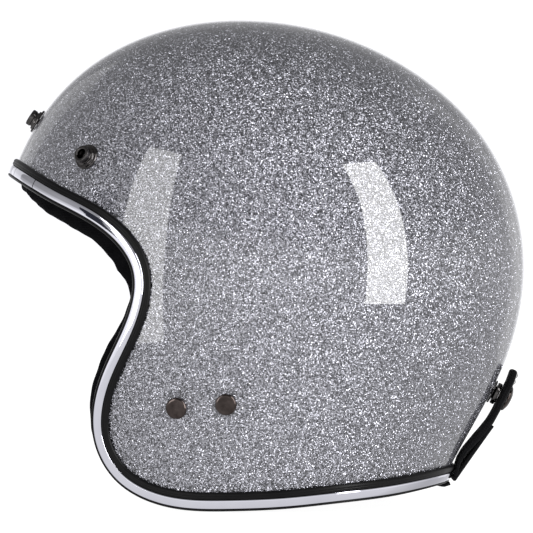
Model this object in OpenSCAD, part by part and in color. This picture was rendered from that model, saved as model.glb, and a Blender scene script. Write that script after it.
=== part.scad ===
// Open face helmet: shell, liner, edge trim, snaps, chin strap and rear goggle strap.
// Millimetres, +Z up, front of the helmet toward -Y, wearer's left toward +X.
// Origin: middle of the box's underside, on the plane of symmetry.

/* [Shell] */
// half of the shell's greatest width
half_width = 116; // [108:0.5:124]
// laminate thickness of the shell
shell_wall = 4; // [3:0.25:5]
// gap between the shell and the foam liner
liner_gap = 1; // [0.8:0.1:1.5]

/* [Liner] */
// foam thickness over the crown
foam_crown = 28; // [22:0.5:32]
// foam thickness at the cheeks and neck
foam_low = 14; // [12:0.5:18]
// thickness of the comfort padding over the foam
pad_thick = 7; // [5:0.5:9]
// distance between the inner faces of the cheek pads at their lower edge
cheek_gap = 112; // [108:1:120]

/* [Edge trim] */
// how far the rubber reaches over the outside of the shell
trim_reach = 8.1; // [6:0.1:10]
// how far the rubber stands out past the shell's edge
trim_crown = 2; // [1.5:0.1:3]
// width of the bright strip set in the rubber
strip_width = 4.8; // [3.5:0.1:5]

/* [Visor snaps] */
// diameter of the stud's flange
snap_flange_d = 13.6; // [12:0.1:15]
// diameter of the stud's head
snap_head_d = 8.8; // [8:0.1:10]
// height of the stud above the shell
snap_height = 5.6; // [5:0.1:7]

/* [Chin strap] */
// diameter of the strap rivets' heads
rivet_head_d = 11; // [9:0.5:12]
// webbing width
web_width = 25; // [20:0.5:25]
// webbing thickness
web_thick = 1.8; // [1.2:0.1:2]
// length of the D-ring side, from its fold
left_length = 84; // [70:1:86]
// length of the plain side, from its fold
right_length = 86; // [70:1:88]
// length of the free end past the plain side
tail_length = 76; // [50:1:78]
// wire diameter of the D-rings
ring_wire = 3.6; // [3:0.1:4]
// outward lean of the stowed straps in degrees
lean = 5; // [4:0.5:6]

/* [Rear strap] */
// width of the rear goggle strap
rear_width = 24; // [18:0.5:26]
// thickness of the rear strap at the snap
rear_thick = 2.8; // [2.4:0.1:3]
// diameter of the rear snap's cap
rear_cap_d = 13.5; // [12:0.1:14]

/* [Hidden] */
// centre of the shell's side profile
cy = 16;
cz = 120;
// side profile radii every 20 degrees, from the back over the top to the front and under
profile = [120, 121.5, 122.5, 123, 127.5, 135.5, 148, 158.5, 159.5, 159,
           164.5, 179.5, 204, 222, 206, 134, 121, 119];
// shell edge seen from the side, from the brow down the cheek and back to the nape
rim = [[-157.5, 186.5], [-133.5, 173.5], [-109, 157.5], [-83, 146.5], [-61, 123.5],
       [-69, 93.5], [-83, 69.5], [-89.5, 40], [-76.5, 13], [-48, 2], [-19.5, 2.5],
       [9, 3.5], [37.5, 7], [66.5, 9], [94.5, 14], [123.5, 15]];
spans = len(rim) - 3;
half_n = 54;
// spacing of the stations along the edge, closer at the cheek's corners
pace = [[0, 0], [9, 0.2], [25, 0.4], [38, 0.6], [54, 1]];
fold_x = 50;
fold_y = -33;
fold_z = 11.3;
snap_side = [-91.9, 180];
brow_snap_angle = 149.5;
// holes through the shell for the snaps' rivets and for the strap rivets
snap_bore = 3.4;
rivet_bore = 5.2;
rivet_a = [-45.3, 52.5];
rivet_b = [-20.3, 54.6];
plate_mid = [-33, 43];
rear_hinge = [98.6, 11];
rear_snap = [120.3, 57.3];
// half the length of edge, as a share, that the padded roll covers
roll_end = 0.54;
// gap between the foam and the padding
pad_gap = 1.1;

// ---- vectors and curves ----
function unit(v) = v / norm(v);
function clamp(t) = max(0, min(1, t));
function smooth(t) = let (c = clamp(t)) c * c * (3 - 2 * c);
function wts(u) = [pow(1 - u, 3), 3 * pow(u, 3) - 6 * u * u + 4,
                   -3 * pow(u, 3) + 3 * u * u + 3 * u + 1, pow(u, 3)] / 6;
function dwts(u) = [-3 * pow(1 - u, 2), 9 * u * u - 12 * u, -9 * u * u + 6 * u + 3, 3 * u * u] / 6;
function sum4(c, w) = c[0] * w[0] + c[1] * w[1] + c[2] * w[2] + c[3] * w[3];
function span4(k) = [for (i = [17:20]) profile[(k + i) % 18]];
function deg(y, z) = (atan2(z, y) + 360) % 360;
// radius of the side profile and its slope per radian
function rad(a) = let (q = a / 20, k = floor(q)) sum4(span4(k), wts(q - k));
function drad(a) = let (q = a / 20, k = floor(q)) sum4(span4(k), dwts(q - k)) * 9 / PI;
// unit direction -> point on the shell's outside, and back
function surf(n) = let (r = rad(deg(n.y, n.z))) [half_width * n.x, cy + r * n.y, cz + r * n.z];
function dirn(p) = let (r = rad(deg(p.y - cy, p.z - cz)))
    unit([p.x / half_width, (p.y - cy) / r, (p.z - cz) / r]);
function nrm(n) = let (a = deg(n.y, n.z), r = rad(a), s = drad(a) / r, q = norm([n.y, n.z]) / r)
    unit([n.x / half_width, q * (cos(a) + s * sin(a)), q * (sin(a) - s * cos(a))]);
function under(n, h) = surf(n) + nrm(n) * h;
// direction of the surface point whose side view is [y, z]
function side_dir(p, s = 1) = let (a = deg(p[0] - cy, p[1] - cz),
    q = min(1, norm([p[0] - cy, p[1] - cz]) / rad(a)))
    [s * sqrt(1 - q * q), q * cos(a), q * sin(a)];
function slerp(a, b, t) = let (w = acos(a * b)) (sin((1 - t) * w) * a + sin(t * w) * b) / sin(w);

// ---- shell edge ----
function rim_yz(t) = let (k = min(floor(t), spans - 1))
    sum4([for (i = [0:3]) rim[k + i]], wts(t - k)) - [cy, cz];
function rim_q(t) = let (p = rim_yz(t)) norm(p) / rad(deg(p[0], p[1]));
q_front = rim_q(0);
q_back = rim_q(spans);
function rim_dir(w) = let (t = spans * (1 - cos(180 * w)) / 2, p = rim_yz(t), a = deg(p[0], p[1]),
    q = min(1, rim_q(t) / (q_front + (q_back - q_front) * t / spans)))
    [sqrt(1 - q * q), q * cos(a), q * sin(a)];
fine = [for (i = [0:240]) surf(rim_dir(i / 240))];
run = [for (i = 0, s = 0; i <= 240; s = s + (i < 240 ? norm(fine[i + 1] - fine[i]) : 0), i = i + 1) s];
edge_len = run[240];
back_map = [for (i = [0:240]) [run[i] / edge_len, i / 240]];
function edge_dir(s) = let (n = rim_dir(lookup(abs(s), back_map))) [s < 0 ? -n.x : n.x, n.y, n.z];
// a station: direction, point, normal, and the tangent pointing into the shell
function station(s) = let (e = 0.004, n = edge_dir(s), p = surf(n), m = nrm(n),
    a = s - e < -1 ? surf(edge_dir(s - e + 2)) : surf(edge_dir(s - e)),
    b = s + e > 1 ? surf(edge_dir(s + e - 2)) : surf(edge_dir(s + e)))
    [n, p, m, unit(cross(m, unit(b - a)))];
function loop_s(j) = j <= half_n ? lookup(j, pace) : -lookup(2 * half_n - j, pace);
ring_st = [for (j = [0:2 * half_n - 1]) station(loop_s(j))];
pole = unit([0, 1, 1]);
// direction at distance b from the edge, measured into the shell
function inward(st, b) = b <= 10 ? dirn(st[1] + st[3] * b)
    : let (n = dirn(st[1] + st[3] * 10), w = acos(n * pole)) slerp(n, pole, (b - 10) / 130 * 180 / PI / w);
function at_edge(st, b, h) = under(inward(st, b), h);

// ---- solids ----
// closed skin through rings of points; ends closed by fans unless it loops
module skin(r, loop = false) {
    m = len(r[0]);
    k = len(r);
    mid0 = [for (i = [0:2]) let (c = [for (p = r[0]) p[i]]) c * [for (p = r[0]) 1 / m]];
    mid1 = [for (i = [0:2]) let (c = [for (p = r[k - 1]) p[i]]) c * [for (p = r[0]) 1 / m]];
    // each cell is split along its shorter diagonal
    side = [for (i = [0:(loop ? k - 1 : k - 2)], j = [0:m - 1])
        let (e = (j + 1) % m, h = (i + 1) % k, a = i * m + j, b = i * m + e, c = h * m + e, d = h * m + j)
        each norm(r[i][j] - r[h][e]) <= norm(r[i][e] - r[h][j]) ? [[a, b, c], [a, c, d]]
            : [[a, b, d], [b, c, d]]];
    caps = loop ? [] : [for (j = [0:m - 1]) each [[k * m, (j + 1) % m, j],
        [k * m + 1, (k - 1) * m + j, (k - 1) * m + (j + 1) % m]]];
    pts = [for (q = r) each q, mid0, mid1];
    faces = concat(side, caps);
    vols = [for (f = faces) pts[f[0]] * cross(pts[f[1]], pts[f[2]])];
    turn = vols * [for (v = vols) 1] > 0;
    polyhedron(pts, turn ? [for (f = faces) [f[2], f[1], f[0]]] : faces, convexity = 8);
}
// local axes at a surface direction: x level, y upward, z out of the shell
module at(n) {
    p = surf(n);
    z = nrm(n);
    x = unit(cross([0, 0, 1], z));
    y = cross(z, x);
    multmatrix([[x.x, y.x, z.x, p.x], [x.y, y.y, z.y, p.y], [x.z, y.z, z.z, p.z], [0, 0, 0, 1]])
        children();
}
module turned(pts) rotate_extrude($fn = 48) polygon(pts);
module rod(d, h0, h1) translate([0, 0, h0]) cylinder(d = d, h = h1 - h0, $fn = 36);
// outline of a strip of thickness t along a 2D path, with round ends where asked
function side_n(p, i) = let (a = p[max(0, i - 1)], b = p[min(len(p) - 1, i + 1)], d = unit(b - a))
    [-d[1], d[0]];
function dome(c, d, t) = [for (a = [-60:30:60])
    c + t / 2 * [d[0] * cos(a) - d[1] * sin(a), d[0] * sin(a) + d[1] * cos(a)]];
function ribbon(p, t, r0 = false, r1 = false) = let (n = len(p) - 1)
    concat([for (i = [0:n]) p[i] - side_n(p, i) * t / 2],
           r1 ? dome(p[n], unit(p[n] - p[n - 1]), t) : [],
           [for (i = [n:-1:0]) p[i] + side_n(p, i) * t / 2],
           r0 ? dome(p[0], unit(p[0] - p[1]), t) : []);
function arc(c, r, a0, a1, n) = [for (i = [0:n]) let (a = a0 + (a1 - a0) * i / n)
    c + r * [cos(a), sin(a)]];
function bez(a, b, c, d, n) = [for (i = [0:n]) let (t = i / n)
    a * pow(1 - t, 3) + b * 3 * t * pow(1 - t, 2) + c * 3 * t * t * (1 - t) + d * pow(t, 3)];

function mid_dir(a) = [0, cos(a), sin(a)];
snaps = [side_dir(snap_side), side_dir(snap_side, -1), mid_dir(brow_snap_angle)];
rivets = [for (s = [1, -1], p = [rivet_a, rivet_b]) side_dir(p, s)];
rear_dir = mid_dir(deg(rear_snap[0] - cy, rear_snap[1] - cz));

// ---- shell and foam ----
// share of the way from the edge to the upper back for each row of the mesh
rows = [0.05, 0.12, 0.2, 0.29, 0.38, 0.47, 0.56, 0.65, 0.74, 0.83, 0.92, 0.985];
function shell_ring(b, f, h) = [for (s = ring_st)
    f < 0 ? at_edge(s, b, h) : under(slerp(inward(s, 10), pole, f), h)];
module outer_shell() color([0.72, 0.73, 0.75]) difference() {
    skin(concat([for (i = [11:-1:0]) shell_ring(0, rows[i], -shell_wall)],
                [shell_ring(10, -1, -shell_wall), shell_ring(0, -1, -shell_wall),
                 shell_ring(0, -1, 0), shell_ring(10, -1, 0)],
                [for (f = rows) shell_ring(0, f, 0)]));
    for (n = snaps) at(n) rod(snap_bore, -8, 4);
    for (n = rivets) at(n) rod(rivet_bore, -8, 4);
    at(rear_dir) rod(snap_bore, -8, 4);
}
function foam(n) = foam_low + (foam_crown - foam_low) * smooth((n.z + 0.6) / 0.5);
// the foam stops short of the edge, further at the strap's way out
function foam_b(s) = lookup(abs(s), [[0, 9], [0.5, 9], [0.56, 15], [0.66, 15], [0.71, 9], [1, 9]]);
foam_s = [for (j = [0:71]) j <= 36 ? lookup(j * 1.5, pace) : -lookup((72 - j) * 1.5, pace)];
foam_st = [for (s = foam_s) station(s)];
function foam_ring(f, inside) = [for (j = [0:71])
    let (n = f == 0 ? inward(foam_st[j], foam_b(foam_s[j])) : slerp(inward(foam_st[j], 10), pole, f))
    under(n, -shell_wall - liner_gap - (inside ? foam(n) : 0))];
module eps_liner() color([0.2, 0.2, 0.21]) difference() {
    skin(concat([for (i = [11:-1:0]) foam_ring(rows[i], true)], [foam_ring(0, true), foam_ring(0, false)],
                [for (f = rows) foam_ring(f, false)]));
    for (n = snaps) at(n) rod(14, -8, 0);
    at(rear_dir) rod(14, -8, 0);
    for (s = [1, -1]) at(side_dir(plate_mid, s)) translate([-21, -60, -15]) cube([42, 83, 20]);
}

// ---- edge trim, laid along the shell's edge ----
module along_edge(section) skin([for (s = ring_st) [for (p = section) at_edge(s, p[0], p[1])]], true);
module edge_trim_rubber() color([0.05, 0.05, 0.05])
    along_edge([[trim_reach, 0.3], [trim_reach - 0.4, 1.6], [trim_reach - 1.5, 2.1], [strip_width, 2.1],
                [strip_width - 0.4, 1.5], [-0.8, 1.5], [-1.1, 1.9], [-trim_crown + 0.1, 1.1],
                [-trim_crown, -1], [-trim_crown, -4.6], [-1.2, -5.8], [0, -6.2], [6.2, -5.9],
                [7, -5], [6.7, -4.4], [-0.25, -4.25], [-0.25, 0.2]]);
module edge_trim_chrome() color([0.9, 0.9, 0.92])
    along_edge([[-0.65, 1.62], [-0.8, 2.0], [0.2, 2.5], [(strip_width - 1) / 2, 2.7],
                [strip_width - 1.3, 2.5], [strip_width - 0.5, 2.0], [strip_width - 0.6, 1.62]]);

// ---- visor snaps ----
module visor_snap_studs() color([0.25, 0.23, 0.22]) for (n = snaps) at(n)
    turned([[1.8, 0.1], [snap_flange_d / 2 - 0.4, 0.1], [snap_flange_d / 2, 0.45],
            [snap_flange_d / 2 - 0.3, 1.1], [5.3, 1.2], [5.2, 2.1], [4.1, 2.3], [4.0, 3.0],
            [snap_head_d / 2, 3.2], [snap_head_d / 2, 5.2], [snap_head_d / 2 - 0.5, snap_height],
            [3, snap_height], [2.6, 5.2], [2.6, 1.2], [1.8, 1.2]]);
module visor_snap_rivets() color([0.3, 0.3, 0.31]) for (n = snaps) at(n)
    turned([[0, -6.8], [2.4, -6.8], [2.6, -5.8], [1.5, -5.7], [1.5, 1.3], [2.45, 1.3],
            [2.45, 1.7], [1.4, 2.4], [0, 2.6]]);
module visor_snap_washers() color([0.55, 0.55, 0.56]) for (n = snaps) at(n)
    difference() { rod(10, -5.6, -4.9); rod(3.2, -6, -4); }

// ---- chin strap hardware on the shell ----
module chin_rivets() color([0.2, 0.17, 0.15]) for (n = rivets) at(n)
    turned([[0, -12.2], [3.4, -12.2], [3.6, -11.6], [3.6, -10.7], [2.4, -10.6], [2.4, 0.1],
            [rivet_head_d / 2 - 0.2, 0.1], [rivet_head_d / 2, 0.4], [rivet_head_d / 2, 1.7],
            [rivet_head_d / 2 - 0.5, 2.3], [0, 2.4]]);
module chin_rivet_spacers() color([0.6, 0.6, 0.6]) for (n = rivets) at(n)
    difference() { rod(9, -8.1, -5); rod(5.1, -9, -4); }
module hanger_plate(s) color([0.62, 0.62, 0.64]) difference() {
    at(side_dir(plate_mid, s)) translate([0, -19, -138.6]) rotate([-90, 0, 0]) rotate([0, 0, -98])
        rotate_extrude(angle = 16, $fn = 180) translate([128.4, 0]) square([1.6, 38]);
    for (n = rivets) if (n.x * s > 0) at(n) rod(5.4, -14, 0);
    at(side_dir(plate_mid, s)) translate([-14, -14, -20]) cube([28, 5, 20]);
}
module hanger_plate_left() hanger_plate(1);
module hanger_plate_right() hanger_plate(-1);

// fixed webbing: through the plate's slot, down, then in under the foam to the fold
function plate_pt(s, x, v, h) = let (n = side_dir(plate_mid, s), z = nrm(n), a = unit(cross([0, 0, 1], z)))
    surf(n) + a * x + cross(z, a) * v + z * h;
tab_loop = concat([[-7.2, -27], [-7.2, -20]], arc([-9.65, -14.3], 2.45, 0, 180, 8),
                  [[-12.1, -20], [-12.1, -27]]);
corners = [[-1, -1], [1, -1], [1, 1], [-1, 1]];
module strap_tab(s) color([0.06, 0.06, 0.06]) {
    z = nrm(side_dir(plate_mid, s));
    wide = unit(cross([0, 0, 1], z));
    flat = [0, s, 0];
    n = len(tab_loop) - 1;
    a = plate_pt(s, 0, tab_loop[n][1], tab_loop[n][0]);
    up = unit(cross(z, wide));
    d = [s * (fold_x + 1.7), fold_y, fold_z];
    low = bez(a, a - up * 9, d + [s * 24, 0, 0], d, 12);
    skin(concat(
        [for (i = [0:n]) let (k = side_n(tab_loop, i), c = tab_loop[i])
            [for (q = corners)
                plate_pt(s, q[0] * web_width / 2 * s, c[1] + q[1] * k[1] * web_thick / 2,
                         c[0] + q[1] * k[0] * web_thick / 2)]],
        [for (i = [1:12]) let (t = unit(low[min(12, i + 1)] - low[i - 1]),
            w0 = unit(wide * (1 - i / 12) + flat * i / 12), w = unit(w0 - t * (w0 * t)), k = cross(w, t) * s)
            [for (q = corners)
                low[i] + w * q[0] * web_width / 2 * s - k * q[1] * web_thick / 2 * s]]));
}
module strap_tab_left() strap_tab(1);
module strap_tab_right() strap_tab(-1);

// ---- padding ----
function foam_in(n) = -shell_wall - liner_gap - foam(n);
// padded roll around the face opening: how far it stands past the shell's edge at each place
roll_reach = [[0, -7], [0.05, -7.4], [0.1, -9.6], [0.18, -10.4], [0.22, -11.4], [0.27, -14], [0.3, -11],
              [0.32, -7.6], [0.34, -8], [0.4, -10.3], [0.47, -11.2], [0.5, -9.4], [0.54, -3]];
function roll_ring(s) = let (st = station(s), b = lookup(abs(s), roll_reach), h = foam_in(inward(st, 8)),
    e = smooth((roll_end + 0.005 - abs(s)) / 0.03) * 0.75 + 0.25, mb = (b + 8.2) / 2, mh = (h - 6.8) / 2)
    [for (q = [[b + 2.6, -6.7], [3, -6.8], [8.2, -7.2], [8.2, h + 0.4], [6.5, h - 3.2], [b + 9, h - 3.6],
               [b + 4, h], [b + 1.2, (h - 8) * 0.62], [b, -14], [b, -9.4], [b + 0.8, -7.6]])
        at_edge(st, mb + (q[0] - mb) * e, mh + (q[1] - mh) * e)];
module opening_roll() color([0.07, 0.07, 0.07]) skin([for (i = [-30:30]) roll_ring(i / 30 * roll_end)]);
// a pad's section: share of the way out from its middle, and share of its thickness
pad_section = [[0.03, 0], [0.35, 0], [0.7, 0], [0.95, 0], [1, 0.3], [1, 0.7], [0.95, 0.95], [0.7, 1.05],
               [0.35, 1.1], [0.03, 1.1]];
crown_edge = [for (a = [0:-10:-350]) let (w = 48 + 3 * cos(2 * a))
    [sin(w) * cos(a), sin(w) * sin(a), cos(w)]];
module crown_pad() color([0.09, 0.09, 0.09]) skin([for (q = pad_section) [for (e = crown_edge)
    let (n = slerp([0, 0, 1], e, q[0])) under(n, foam_in(n) - pad_gap - pad_thick * q[1])]]);
// strip of padding around the head, from bearing l0 to l1 and from height e0 to e1
band_section = [[-0.9, 0], [-1, 0.4], [-0.9, 0.85], [-0.5, 1], [0.5, 1], [0.9, 0.85], [1, 0.4], [0.9, 0],
                [0.5, 0], [0, 0], [-0.5, 0]];
function band(l0, l1, e0, e1, m, drop = 0) = [for (i = [0:m]) let (f = i / m, l = l0 + (l1 - l0) * f,
    low = e0 - drop * smooth((min(l, 360 - l) - 103) / 22),
    g = sqrt(max(0.08, 1 - pow(abs(2 * f - 1), 8))), c = (low + e1) / 2, w = (e1 - low) / 2 * g)
    [for (q = band_section) let (e = c + q[0] * w, n = [cos(e) * sin(l), -cos(e) * cos(l), sin(e)])
        under(n, foam_in(n) - pad_gap - pad_thick * q[1])]];
module brow_pad() color([0.08, 0.08, 0.08]) skin(band(-62, 62, 24, 37, 20));
module headband_pad() color([0.08, 0.08, 0.08]) skin(band(68, 292, -6, 36, 32, 17));
// cheek pad: outline in side view, flat face toward the head
cheek_line = [[-47, 108], [-62, 98], [-66, 84], [-74, 66], [-77.5, 47], [-74, 25], [-58, 14], [-35, 12],
              [-10, 13], [-2, 30], [-2, 62], [-9, 92], [-28, 106]];
cheek_mid = [-38, 62];
function cheek_o(j, m) = let (c = len(cheek_line), q = j * c / m, k = floor(q))
    sum4([for (i = [0:3]) cheek_line[(k + i + c - 1) % c]], wts(q - k));
function cheek_face(z) = cheek_gap / 2 + 0.0875 * (z - 11);
function cheek_row(s, f, k) = [for (j = [0:35]) let (p = cheek_mid + (cheek_o(j, 36) - cheek_mid) * f,
    n = side_dir(p), a = under(n, foam_in(n) - 1.2), b = min(cheek_face(a.z), a.x - 3))
    [s * (a.x + (b - a.x) * k), a.y, a.z]];
cheek_section = [[0.03, 0], [0.4, 0], [0.75, 0], [0.95, 0], [1, 0.2], [1, 0.75], [0.95, 0.95], [0.75, 1],
                 [0.4, 1], [0.03, 1]];
module cheek_pad(s) color([0.08, 0.08, 0.08])
    skin([for (i = [0:9]) let (q = cheek_section[s > 0 ? i : 9 - i]) cheek_row(s, q[0], q[1])]);
module cheek_pad_left() cheek_pad(1);
module cheek_pad_right() cheek_pad(-1);
// roll around the nape, over the foam's lower edge
function neck_ring(i) = let (f = i / 20, s0 = 1 - abs(f) * 0.28, st = station(f < 0 ? -s0 : s0),
    e = smooth((1.02 - abs(f)) / 0.12))
    [for (q = [[1.5, -9.4, 0, 0], [8.2, -9.2, 0, 0], [8.2, -1, 1, 0], [16, -1, 1, 0], [24, -1, 1, 0],
               [32, -1, 1, 0], [40, -1, 1, 0], [43, -2, 1, -2], [38, -2, 1, -6], [26, -2, 1, -7.5],
               [12, -2, 1, -8], [3, -2, 1, -5], [0.5, 1, 1, 0], [0.3, -12, 0, 0]])
        at_edge(st, q[0], q[2] * foam_in(inward(st, q[0])) + q[1] + q[3] * e)];
module neck_roll() color([0.07, 0.07, 0.07]) skin([for (i = [-20:20]) neck_ring(i)]);

// ---- rear goggle strap ----
module rear_stud() color([0.25, 0.23, 0.22]) at(rear_dir)
    turned([[1.8, 0.1], [6.2, 0.1], [6.5, 0.5], [6.2, 0.9], [3.4, 1], [3.3, 1.7], [3.5, 1.9], [3.5, 2.8],
            [3.1, 3.2], [1.8, 3.2]]);
module rear_stud_rivet() color([0.3, 0.3, 0.31]) at(rear_dir)
    turned([[0, -6.8], [2.4, -6.8], [2.6, -5.8], [1.5, -5.7], [1.5, 2.7], [0, 2.9]]);
module rear_stud_washer() color([0.55, 0.55, 0.56]) at(rear_dir)
    difference() { rod(10, -5.6, -4.9); rod(3.2, -6, -4); }
module across(w) rotate([90, 0, 90]) translate([0, 0, -w / 2]) linear_extrude(height = w) children();
anchor_path = [[96.9, 9.4], [93.6, 8.4], [90.6, 8.9], [88.2, 10.5], [86.8, 13.1], [87.7, 16.1],
               [90.7, 22.9]];
module rear_anchor_tab() color([0.06, 0.06, 0.06]) across(rear_width) polygon(ribbon(anchor_path, 1.5));
rear_out = [nrm(rear_dir).y, nrm(rear_dir).z];
rear_up = [-rear_out[1], rear_out[0]];
rear_mid = [surf(rear_dir).y, surf(rear_dir).z] + 5.6 * rear_out;
rear_path = [rear_mid + 16 * rear_up - [1, 0], rear_mid + 9 * rear_up, rear_mid - 8 * rear_up,
             [120.3, 44.2], [119, 40.6], [117.7, 37.4], [116, 34.8], [107.5, 23.1], rear_hinge];
// the doubled layer on the shell's side, sewn to the other one near the snap
inner_path = [[118.6, 43.2], [114.2, 37.2], [109.6, 32], [106, 27.6], [102.6, 23.6]];
inner_thick = 3.6;
module goggle_strap() color([0.06, 0.06, 0.06]) difference() {
    union() {
        across(rear_width) polygon(ribbon(rear_path, rear_thick, true, true));
        across(rear_width - 1) polygon(ribbon(inner_path, inner_thick, false, true));
    }
    at(rear_dir) rod(5, 2, 10);
}
module goggle_snap_cap() color([0.25, 0.24, 0.24]) at(rear_dir)
    turned([[0, 4.3], [2.2, 4.3], [2.2, 7.3], [rear_cap_d / 2 - 0.2, 7.3], [rear_cap_d / 2, 7.8],
            [rear_cap_d / 2 - 0.6, 8.7], [4.6, 9.6], [2.4, 10.1], [0, 10.2]]);
module goggle_snap_socket() color([0.3, 0.29, 0.28]) at(rear_dir)
    turned([[4.3, 1.5], [5.6, 1.5], [6, 1.9], [6, 3.5], [5.6, 3.9], [0, 3.9], [0, 3.55], [4.3, 3.55]]);

// ---- chin strap ----
// strap axes: z up along the stowed strap, x outward, origin on the fold's axis
module strap(s) translate([s * fold_x, fold_y, fold_z]) mirror([s < 0 ? 1 : 0, 0, 0])
    rotate([0, lean, 0]) children();
module web(w) rotate([90, 0, 0]) translate([0, 0, -w / 2]) linear_extrude(height = w) children();
bar_low = [-3.2, left_length - 10];
bar_up = bar_low + [-3.9, 3.9];
wrap = ring_wire / 2 + 0.45 + web_thick / 2;
module chin_strap_left() color([0.06, 0.06, 0.06]) strap(1) web(web_width)
    polygon(ribbon(concat([[0, 0], [0, bar_low[1] - 2], [0, bar_low[1] + 1.6]],
        arc(bar_up, wrap, 35, 190, 9),
        [bar_up - [1.6, 6.4], bar_low - [1, 7.5], bar_low - [-0.9, 10.5], bar_low - [-1.2, 14]]),
        web_thick, true));
module sleeve(h0, h1, t) hull() for (y = [-15, 15], x = [-t + 1.2, t - 1.2])
    translate([x, y * 0.93, h0]) cylinder(r = 1.2, h = h1 - h0, $fn = 16);
module chin_sleeve(s, h1) color([0.09, 0.09, 0.09]) strap(s) difference() {
    sleeve(8, h1, 3.2);
    translate([-web_thick / 2 - 0.15, -web_width / 2 - 0.2, 0])
        cube([web_thick + 0.3, web_width + 0.4, 100]);
}
module chin_sleeve_left() chin_sleeve(1, bar_low[1] - 15);
module chin_sleeve_right() chin_sleeve(-1, right_length - 14);
// D-ring: bar along y on its axis, bow hanging down and inward
d_line = concat([for (i = [0:4]) [-12.3 + i * 6.15, 0]], arc([12.3, -3], 3, 75, 0, 4),
                [for (a = [1:13]) let (w = a * 180 / 14) [15.3 * cos(w), -4 - 18 * sin(w)]],
                arc([-12.3, -3], 3, 180, 105, 4));
module d_ring(c) strap(1) translate([c[0], 0, c[1]]) rotate([0, 13, 0])
    skin([for (i = [0:len(d_line) - 1]) let (m = len(d_line), p = d_line[i],
        t = unit(d_line[(i + 1) % m] - d_line[(i + m - 1) % m]), k = [-t[1], t[0]])
        [for (a = [0:36:324]) ring_wire / 2 * sin(a) * [1, 0, 0] + [0, p[0], p[1]]
            + ring_wire / 2 * cos(a) * [0, k[0], k[1]]]], true);
module d_ring_lower() color([0.75, 0.75, 0.77]) d_ring(bar_low);
module d_ring_upper() color([0.75, 0.75, 0.77]) d_ring(bar_up);
tail_axis = [-3.4, right_length];
right_end = tail_axis + 1.95 * [cos(50), -sin(50)];
module chin_strap_right() color([0.06, 0.06, 0.06]) strap(-1) web(web_width)
    polygon(ribbon(concat([[0, 0], [0, right_length - 8]],
        bez([0, right_length - 6], [0, right_length - 4], [-0.6, right_length - 2.8], right_end, 4)),
        web_thick, true));
module strap_tail() color([0.06, 0.06, 0.06]) strap(-1) web(web_width)
    polygon(ribbon(concat(
        bez(tail_axis, tail_axis - [1, 1.4], tail_axis - [1.8, 4.5], tail_axis - [1.8, 7], 6),
        [tail_axis - [1.8, tail_length - 1.5]]), web_thick, true, true));

outer_shell();
eps_liner();
edge_trim_rubber();
edge_trim_chrome();
visor_snap_studs();
visor_snap_rivets();
visor_snap_washers();
chin_rivets();
chin_rivet_spacers();
hanger_plate_left();
hanger_plate_right();
strap_tab_left();
strap_tab_right();
opening_roll();
brow_pad();
crown_pad();
headband_pad();
cheek_pad_left();
cheek_pad_right();
neck_roll();
rear_stud();
rear_stud_rivet();
rear_stud_washer();
rear_anchor_tab();
goggle_strap();
goggle_snap_cap();
goggle_snap_socket();
chin_strap_left();
chin_sleeve_left();
d_ring_lower();
d_ring_upper();
chin_strap_right();
chin_sleeve_right();
strap_tail();
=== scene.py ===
"""Looks of the open face helmet: smooth meshes over the CAD frame, cloth, webbing and materials."""
import math

import bmesh
import bpy
import numpy as np
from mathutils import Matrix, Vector


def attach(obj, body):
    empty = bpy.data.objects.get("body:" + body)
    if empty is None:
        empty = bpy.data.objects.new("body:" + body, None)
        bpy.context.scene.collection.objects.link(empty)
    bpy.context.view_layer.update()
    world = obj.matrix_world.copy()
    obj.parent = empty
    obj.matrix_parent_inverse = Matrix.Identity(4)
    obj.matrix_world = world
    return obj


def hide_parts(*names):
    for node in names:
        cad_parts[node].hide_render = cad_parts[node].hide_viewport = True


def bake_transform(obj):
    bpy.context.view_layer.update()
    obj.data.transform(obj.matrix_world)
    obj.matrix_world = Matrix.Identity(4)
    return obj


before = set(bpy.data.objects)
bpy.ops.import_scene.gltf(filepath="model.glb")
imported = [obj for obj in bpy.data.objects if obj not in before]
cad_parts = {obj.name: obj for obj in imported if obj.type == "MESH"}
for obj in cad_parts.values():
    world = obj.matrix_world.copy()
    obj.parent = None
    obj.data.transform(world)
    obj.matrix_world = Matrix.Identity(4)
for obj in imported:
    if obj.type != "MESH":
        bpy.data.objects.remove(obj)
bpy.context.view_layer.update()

MM = 0.001


def put(name, data):
    """A new object in the scene."""
    ob = bpy.data.objects.new(name, data)
    bpy.context.collection.objects.link(ob)
    return ob


# ---- camera: level, on the wearer's left, with a long lens ----
def make_camera(distance=2.2, width=0.2825, height=0.124):
    data = bpy.data.cameras.new("camera")
    data.sensor_width = 36.0
    data.lens = data.sensor_width * distance / width
    data.clip_end = 50.0
    ob = put("camera", data)
    ob.location = (distance, 0.0, height)
    ob.rotation_euler = (math.pi / 2, 0.0, math.pi / 2)
    bpy.context.scene.camera = ob


make_camera()

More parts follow.
